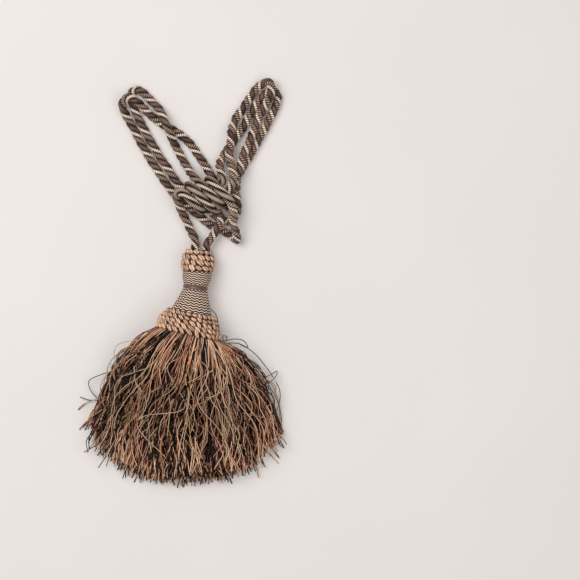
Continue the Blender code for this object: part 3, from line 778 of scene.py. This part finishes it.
def zigzag_band(name, span, radii, zigzags, material):
    """A band wound with two-colour cord, whose twists meet in rows of zigzags."""
    start, end = span
    rows, waves = zigzags
    cream, brown = np.array(linear(255, 226, 204)), np.array(linear(44, 20, 15))

    def phase(angle, place):
        wave = abs((waves * angle / math.tau) % 1.0 - 0.5) * 2
        return rows * (place - start) / (end - start) + ZIGZAG_CLIMB * wave

    def relief(angle, place):
        rounded_edge = min(1.0, min(place - start, end - place) / (0.6 * MM))
        ridge = abs(math.sin(math.tau * phase(angle, place))) ** 0.6
        return ZIGZAG_RELIEF * ridge * rounded_edge - ZIGZAG_SUNK

    def colour(angle, place):
        part = math.sin(math.tau * phase(angle, place))
        share = min(1.0, max(0.0, 4 * part - 1.5))
        furrow_shade = 0.6 + 0.4 * min(1.0, abs(part) * 3)
        return (brown + (cream - brown) * share) * furrow_shade

    outline = band_outline(span, radii, rows * LINES_PER_ROW + 1)
    turned(name, outline, ZIGZAG_SIDES, relief, colour, material)


def bean_points(sides, lengths):
    """A unit bean of three twisted yarns, as (ring, side, xyz) with its length along x."""
    rings = []
    for i in range(lengths + 1):
        turn = math.pi * (0.05 + 0.9 * i / lengths)
        for j in range(sides):
            angle = math.tau * j / sides
            yarn = 1 - 0.34 * (1 - abs(math.sin(2 * angle + 1.6 * math.cos(turn)))) ** 1.5
            girth = math.sin(turn) ** 0.62 * yarn
            rings.append((-math.cos(turn), girth * math.cos(angle), girth * math.sin(angle)))
    return np.array(rings).reshape(lengths + 1, sides, 3)


def knotted_ruff(name, span, radii, knots, material, under):
    """Columns of chunky knots down the head, with painted shade on their inner sides and yarn furrows, on a
    dark ground of painted shade.
    """
    start, end = span
    count, rows = knots
    unit_bean = bean_points(BEAN_SIDES, BEAN_RINGS)
    row_length = (end - start) / rows
    half_length = 0.46 * row_length
    light, shade = np.array(linear(255, 208, 174)), np.array(linear(56, 29, 20))
    girth = np.linalg.norm(unit_bean[..., 1:], axis=-1)
    groove = girth / np.maximum(girth.max(axis=1, keepdims=True), 1e-6)
    # painted light and shade: each knot is lighter on its outer side and its yarns' crests, darker towards
    # the head and in the furrows
    painted_light_share = np.clip(unit_bean[..., 2] + 0.25, 0, 1) ** 1.1 * np.clip((groove - 0.7) / 0.26, 0, 1)
    rings, tints = [], []
    for row in range(rows):
        share = (row + 0.5) / rows
        place = start + (end - start) * share
        radius = radius_between(radii, share)
        width = math.tau * radius / count
        for column in range(count):
            angle = math.tau * (column + 0.1 * row) / count + random.normal(0, UNEVEN_ROUND) * width / radius
            here = place + random.normal(0, UNEVEN_ALONG) * row_length
            here = min(max(here, start + half_length), end - half_length)
            centre = on_head(here, radius, angle)
            around = unit(on_head(here, radius, angle - 0.03) - on_head(here, radius, angle + 0.03))
            down = unit(on_head(here + 1 * MM, radius, angle) - on_head(here - 1 * MM, radius, angle))
            outward = unit(np.cross(around, down))
            if outward.dot(centre - np.array(head_centre(here)[0])) < 0:
                outward = -outward
            tilt = BEAN_LEAN + random.normal(0, UNEVEN_LEAN)
            long = around * math.cos(tilt) + down * math.sin(tilt)
            broad = np.cross(outward, long)
            size = 1 + random.normal(0, UNEVEN_SIZE)
            shape = unit_bean * np.array([0.6 * width, half_length, BEAN_HEIGHT]) * size
            bean = centre + shape[..., :1] * long + shape[..., 1:2] * broad + shape[..., 2:] * outward
            bean[..., 2] = np.maximum(bean[..., 2], 0.0)
            rings.append(bean)
            tone = max(0.5, 0.95 + random.normal(0, UNEVEN_TONE))
            tints.append((shade + (light - shade) * painted_light_share[..., None]) * tone)
    rings = np.array(rings)
    along = np.broadcast_to(np.linspace(0, 2, rings.shape[1]), rings.shape[:2])
    along = along + random.random((len(rings), 1))
    outline = band_outline(span, radii, 3 * rows + 1)
    # the dark ground is painted shade that shows between the knots
    gap_shade = band_rings(outline, 3 * count, lambda angle, place: -GAP_SHADE_DEPTH)
    parts = [tubes(rings, along), tubes(gap_shade, np.zeros((1, len(outline))))]
    points, faces, corners, slots = joined(parts)
    colours = np.vstack([np.array(tints).reshape(-1, 3), np.tile(shade, (len(parts[1][0]), 1))])
    obj = piece(name, points, faces, [material, under], colours, corners, slots)
    stand_in(obj, name.removesuffix("_cloth"))


def waist_binding(name, material):
    """A smooth bulging band of satin thread."""
    start, end = WAIST
    mauve, shade = np.array(linear(118, 84, 74)), np.array(linear(74, 48, 41))

    def relief(angle, place):
        share = (place - start) / (end - start)
        bulge = WAIST_BULGE * math.sin(math.pi * share) ** 0.5
        return bulge + WAIST_TURN_RELIEF * math.sin(math.tau * WAIST_TURNS * share)

    def colour(angle, place):
        share = (place - start) / (end - start)
        return shade + (mauve - shade) * (0.55 + 0.45 * math.sin(math.tau * WAIST_TURNS * share))

    outline = band_outline(WAIST, [WAIST_RADIUS], WAIST_LINES)
    turned(name, outline, WAIST_SIDES, relief, colour, material)


def make_head():
    bronze = bronze_material()
    gap_shade = gap_shade_material()
    zigzag = tinted_material("zigzag_cord", 0.5, 0.2, 260.0, 0.85)
    satin = tinted_material("mauve_satin", 0.35, 0.4, 40.0, 0.8)
    knotted_ruff("top_ruff_cloth", TOP_RUFF, TOP_RUFF_RADII, TOP_KNOTS, bronze, gap_shade)
    knotted_ruff("lower_ruff_cloth", LOWER_RUFF, LOWER_RUFF_RADII, LOWER_KNOTS, bronze, gap_shade)
    zigzag_band("neck_wrap_cloth", NECK, NECK_RADII, NECK_ZIGZAGS, zigzag)
    zigzag_band("cone_wrap_cloth", CONE, CONE_RADII, CONE_ZIGZAGS, zigzag)
    waist_binding("waist_binding_cloth", satin)


# Skirt


def fan_lines(across, stray, rise_share, reach_change, first, last, points):
    """Threads from the head to the surface, as (thread, point, xyz), along the frame's locks.

    across runs from -1 to 1 over the fan, and rise_share from 0, on the surface, to 1, on the top. stray
    moves a thread's end sideways. Only the part from the first to the last share of the length is made.
    """
    a, up = across[:, None], rise_share[:, None]
    end_a = np.clip(a + stray[:, None], -1, 1)
    narrow = np.sqrt(np.maximum(0.0, 1 - a * a))
    root_a = np.clip(a + UPPER_ROOTS_SET_OVER * up**2 * (1 - a * a), -1, 1)
    root_rise = (2 * up - 1) * np.sqrt(np.maximum(0.0, 1 - root_a * root_a))
    centre, _, sideways = head_centre(HEAD_LENGTH + GAP)
    spread = ROOT_SPREAD + UPPER_ROOTS_FURTHER * up**2
    root = np.array(centre) + np.array(sideways) * root_a * spread + UP * root_rise * spread
    shorter = SIDE_SHORTER * np.abs(a) ** SIDE_SHORTER_POWER + TOP_SHORTER * up * narrow
    reach = SKIRT_LENGTH - shorter + reach_change[:, None]
    height = TIP_LOWEST + TIP_HEIGHT * up * narrow
    tip = np.hstack([TIP_MIDDLE + FAN_WIDTH * TIP_HALF_WIDTH * end_a, centre[1] - reach, height])
    rise = (2 * up - 1) * narrow
    low = (1 - up) ** 2 * narrow
    splay = FAN_SPLAY * ROOT_SPLAY * a
    onward = -ROOT_REACH * (1 - SIDE_TURNS_SOONER * a * a) * (1 - TOP_TURNS_SOONER * up)
    leave = root + np.hstack([splay, onward, np.zeros_like(a)])
    leave_height = root[:, 2:] + ROOT_RISE * rise - SIDE_DROP * (1 - narrow)
    leave[:, 2:] = leave_height * (1 - low) + height * low
    arrive = tip + TIP_REACH * np.hstack([-TIP_SPLAY * a, np.ones_like(a), np.zeros_like(a)])
    slope = TIP_SLOPE * up * narrow * (root[:, 2:] - height)
    arrive[:, 2:] = height + slope + SIDE_DROP * (1 - narrow)
    t = np.linspace(first, last, points)[None, :, None]
    s = 1 - t
    start = root[:, None] * s**3 + leave[:, None] * 3 * s * s * t
    return start + arrive[:, None] * 3 * s * t * t + tip[:, None] * t**3


def thread_tubes(lines, radius, sides):
    """Rings round each line. radius is one for each thread."""
    tangents = unit(np.gradient(lines, axis=1))
    side = unit(np.cross(tangents, UP))
    top = np.cross(side, tangents)
    angles = math.tau * (np.arange(sides) / sides + 0.25)
    return rings_round(lines, radius[:, None], side, top, angles)


# Colours of the threads, and how often each is met below and, further on, among the light ones.
PALETTE = [
    (linear(14, 7, 6), 0.36, 0.0),
    (linear(68, 37, 29), 0.25, 0.05),
    (linear(136, 87, 70), 0.13, 0.1),
    (linear(220, 158, 124), 0.13, 0.4),
    (linear(255, 214, 178), 0.18, 0.6),
    (linear(246, 200, 148), 0.03, 0.1),
    (linear(222, 176, 156), 0.03, 0.05),
]


def thread_colours(rise_share, kind):
    """A colour for each thread, often its neighbours' too, with painted shade that darkens those deep down.
    """
    colours = np.array([row[0] for row in PALETTE])
    shares = np.array([row[1] + kind.light * row[2] for row in PALETTE])
    total = len(rise_share)
    picks = random.choice(len(PALETTE), size=total, p=shares / shares.sum())
    alike = random.random(total) < ALIKE
    picks = np.where(alike, picks[np.arange(total) // CLUMP * CLUMP], picks)
    # painted shade: threads lower in the skirt are darker
    depth_shade = kind.lowest + (1 - kind.lowest) * rise_share[:, None] ** 1.3
    return colours[picks] * depth_shade * (1 + random.normal(0, TONE_SPREAD, (total, 1)))


def waves(lines, share, size, length, shared):
    """A smooth displacement of each point, in waves of about one length that a clump's threads may share."""
    number = len(lines) // CLUMP if shared else len(lines)
    phase = random.uniform(0, math.tau, (number, 1))
    turn = 1 / (random.uniform(0.75, 1.35, (number, 1)) * length)
    amount = random.normal(0, size, (number, 1)) + 0.5 * size
    if shared:
        phase, turn, amount = (np.repeat(part, CLUMP, 0) for part in (phase, turn, amount))
    growing = np.sin(0.5 * math.pi * np.minimum(share * 1.7, 1.0))
    return amount * np.sin(math.tau * turn * lengths_along(lines) + phase) * growing


def clear_of_hollows(lines):
    """Which threads to keep: few of the upper ones cross the places where the photograph shows hollows."""
    keep = np.ones(len(lines), bool)
    for (x, y), (half_width, half_height) in HOLLOWS:
        middle = from_pixel(x, y, HOLLOW_HEIGHT)
        across = (lines[..., 0] - middle[0]) / (half_width * PIXEL)
        upward = (lines[..., 1] - middle[1]) / (half_height * PIXEL)
        crosses = (across**2 + upward**2 < 1).any(axis=1)
        keep &= ~crosses | (random.random(len(lines)) < KEPT_IN_HOLLOWS)
    return keep


def clumped(values, spread):
    """The values of the clumps for each thread, a little apart."""
    return np.repeat(values, CLUMP) + random.normal(0, spread, len(values) * CLUMP)


def swayed(lines, share, kind):
    """The threads with their waves, crimps and tips that turn aside."""
    side = unit(np.cross(unit(np.gradient(lines, axis=1)), UP))
    sway = waves(lines, share, kind.wander * MM, WANDER_LENGTH, False)
    sway += waves(lines, share, *CLUMP_WAVE, True)
    if kind.points >= FINE_WAVE_POINTS:
        for size, length in FINE_WAVES:
            sway += waves(lines, share, size, length, False)
    tip = np.clip((share - TIP_START) / (1 - TIP_START), 0, 1)
    sway += random.normal(0, 1, (len(lines), 1)) * (kind.turn * MM) * tip
    lift = waves(lines, share, *LIFT_WAVE, False)
    lift += random.normal(0, 1, (len(lines), 1)) * TIP_LIFT * tip
    if kind.last < 0.5:
        sinking = np.clip(share / kind.last - 0.55, 0, 1)
        lift -= CROWN_DROP * sinking * random.uniform(0.3, 1, (len(lines), 1))
    return lines + side * sway[..., None] + UP * lift[..., None]


def skirt_piece(name, rings, along, tints, material):
    """A piece of the skirt, of tubes whose tints fit their rings."""
    points, faces, corners = tubes(rings, along)
    colours = np.broadcast_to(tints, rings.shape).reshape(-1, 3)
    obj = piece(name, points, faces, [material], colours, corners)
    stand_in(obj, "skirt")


def make_threads(name, material):
    kind = THREAD_KINDS[name]
    clumps = kind.count // CLUMP
    round_share = np.sin(0.5 * math.pi * random.uniform(-1, 1, clumps))
    flat_share = random.uniform(-1, 1, clumps)
    places = np.where(random.random(clumps) < 0.25, round_share, flat_share)
    spread_across, spread_up = CLUMP_SPREAD
    across = np.clip(clumped(places, spread_across), -1, 1)
    up = np.clip(clumped(random.uniform(*kind.rise, clumps), spread_up), 0, 1)
    stray = random.normal(0, kind.stray, len(across))
    middle, spread, least, most = LONGER
    change = np.clip(random.normal(middle, spread, len(across)), least, most)
    lines = fan_lines(across, stray, up, change, kind.first, kind.last, kind.points)
    share = np.broadcast_to(np.linspace(kind.first, kind.last, kind.points), lines.shape[:2])
    lines = swayed(lines, share, kind)
    if name in ("threads_high", "threads_top"):
        keep = clear_of_hollows(lines)
        lines, share, up = lines[keep], share[keep], up[keep]
    radius = kind.radius * MM * random.uniform(*THREAD_RADII, len(lines))
    lines[..., 2] = np.maximum(lines[..., 2], radius[:, None])
    middle_shade = 1 - MIDDLE_SHADE * np.sin(math.pi * np.clip((share - 0.25) / 0.65, 0, 1))
    # painted highlight at the cut ends
    end_highlight = 1 + END_HIGHLIGHT * np.clip((share - 0.9) / 0.1, 0, 1)
    tints = thread_colours(up, kind)[:, None] * (middle_shade * end_highlight)[..., None]
    tints = tints * np.minimum(1, BRIGHTEST / np.maximum(tints.max(axis=2, keepdims=True), 1e-6))
    skirt_piece(name, thread_tubes(lines, radius, THREAD_SIDES), share, tints[:, :, None], material)


def make_strays(material):
    routes = [smooth_line([from_pixel(*row) for row in stray]) for stray in DARK_STRAYS + LIGHT_STRAYS]
    lines = np.array([spread_evenly(route, STRAY_POINTS) for route in routes])
    lines[..., 2] = np.maximum(lines[..., 2], STRAY_LOWEST)
    rings = thread_tubes(lines, np.full(len(lines), STRAY_RADIUS), STRAY_SIDES)
    along = np.broadcast_to(np.linspace(0, 1, STRAY_POINTS), lines.shape[:2])
    dark, light = linear(96, 84, 76), linear(214, 182, 146)
    tints = np.array([dark] * len(DARK_STRAYS) + [light] * len(LIGHT_STRAYS))
    skirt_piece("stray_threads", rings, along, tints[:, None, None], material)


def make_backing(material):
    """The dark gathered roots behind the lower ruff."""
    start = HEAD_LENGTH + GAP
    places = (start, start + BACKING_DEPTH, start + 2.5 * BACKING_DEPTH)
    rings = band_rings(list(zip(places, BACKING_RADII)), BACKING_SIDES)
    skirt_piece("skirt_backing", rings, np.linspace(0, 1, len(places))[None], linear(104, 70, 52), material)


def make_skirt():
    material = tinted_material("skirt_threads", 0.45, 0.2, 120.0, 0.62)
    make_backing(material)
    for name in THREAD_KINDS:
        make_threads(name, material)
    make_strays(material)


# Surface and light


def make_floor():
    material, tree = new_material("pale_surface", 0.75)
    grain = ramp(tree, object_noise(tree, 5.0), 0.2, 0.8)
    base = mixed(tree, grain, linear(204, 200, 198), linear(208, 204, 202))
    coated(material, base, object_noise(tree, 400.0), strength=0.05, distance=0.3 * MM)
    inputs = shader_of(material).inputs
    inputs["Emission Color"].default_value = (*linear(238, 231, 227), 1.0)
    inputs["Emission Strength"].default_value = FLOOR_GLOW
    size = FLOOR_HALF_WIDTH
    points = [(-size, -size, 0), (size, -size, 0), (size, size, 0), (-size, size, 0)]
    piece("floor", points, [(0, 1, 2, 3)], [material])


def make_lights():
    for name, (place, aim, power, colour) in LIGHTS.items():
        data = bpy.data.lights.new(name, "AREA")
        data.shape = "SQUARE"
        data.size = LIGHT_SIZE
        data.energy = power
        data.color = colour
        light = new_object(name, data)
        light.location = place
        light.rotation_euler = (Vector(aim) - Vector(place)).to_track_quat("-Z", "Y").to_euler()
    world = bpy.data.worlds.new("studio")
    world.use_nodes = True
    background = world.node_tree.nodes["Background"]
    background.inputs["Color"].default_value = SKY_COLOUR
    background.inputs["Strength"].default_value = SKY_STRENGTH
    bpy.context.scene.world = world
    bpy.context.scene.view_settings.view_transform = "Standard"


def make_ropes():
    materials = [
        satin_ply_material(),
        ribbed_ply_material("brown_ribbed_ply", linear(38, 25, 20), linear(186, 155, 137), 0.6, 0.45),
        ribbed_ply_material("cream_ribbed_ply", linear(58, 38, 29), linear(255, 234, 212), 0.36, 0.5),
    ]
    routes = {"tie_rope": tie_rope_points(), "hanging_cord": hanging_cord_points()}
    for name, points in routes.items():
        obj, path = three_plies(f"{name}_plies", points, materials)
        stand_in(obj, name)
        length = float(lengths_along(path)[-1])


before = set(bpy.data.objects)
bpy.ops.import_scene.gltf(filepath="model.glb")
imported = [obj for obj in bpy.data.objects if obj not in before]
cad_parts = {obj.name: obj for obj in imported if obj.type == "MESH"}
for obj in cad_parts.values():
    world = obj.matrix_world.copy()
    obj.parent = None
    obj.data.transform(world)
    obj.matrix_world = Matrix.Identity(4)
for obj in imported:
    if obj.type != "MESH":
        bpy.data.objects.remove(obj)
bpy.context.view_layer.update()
make_camera()
make_ropes()
make_head()
make_skirt()
make_floor()
make_lights()
bpy.context.view_layer.update()
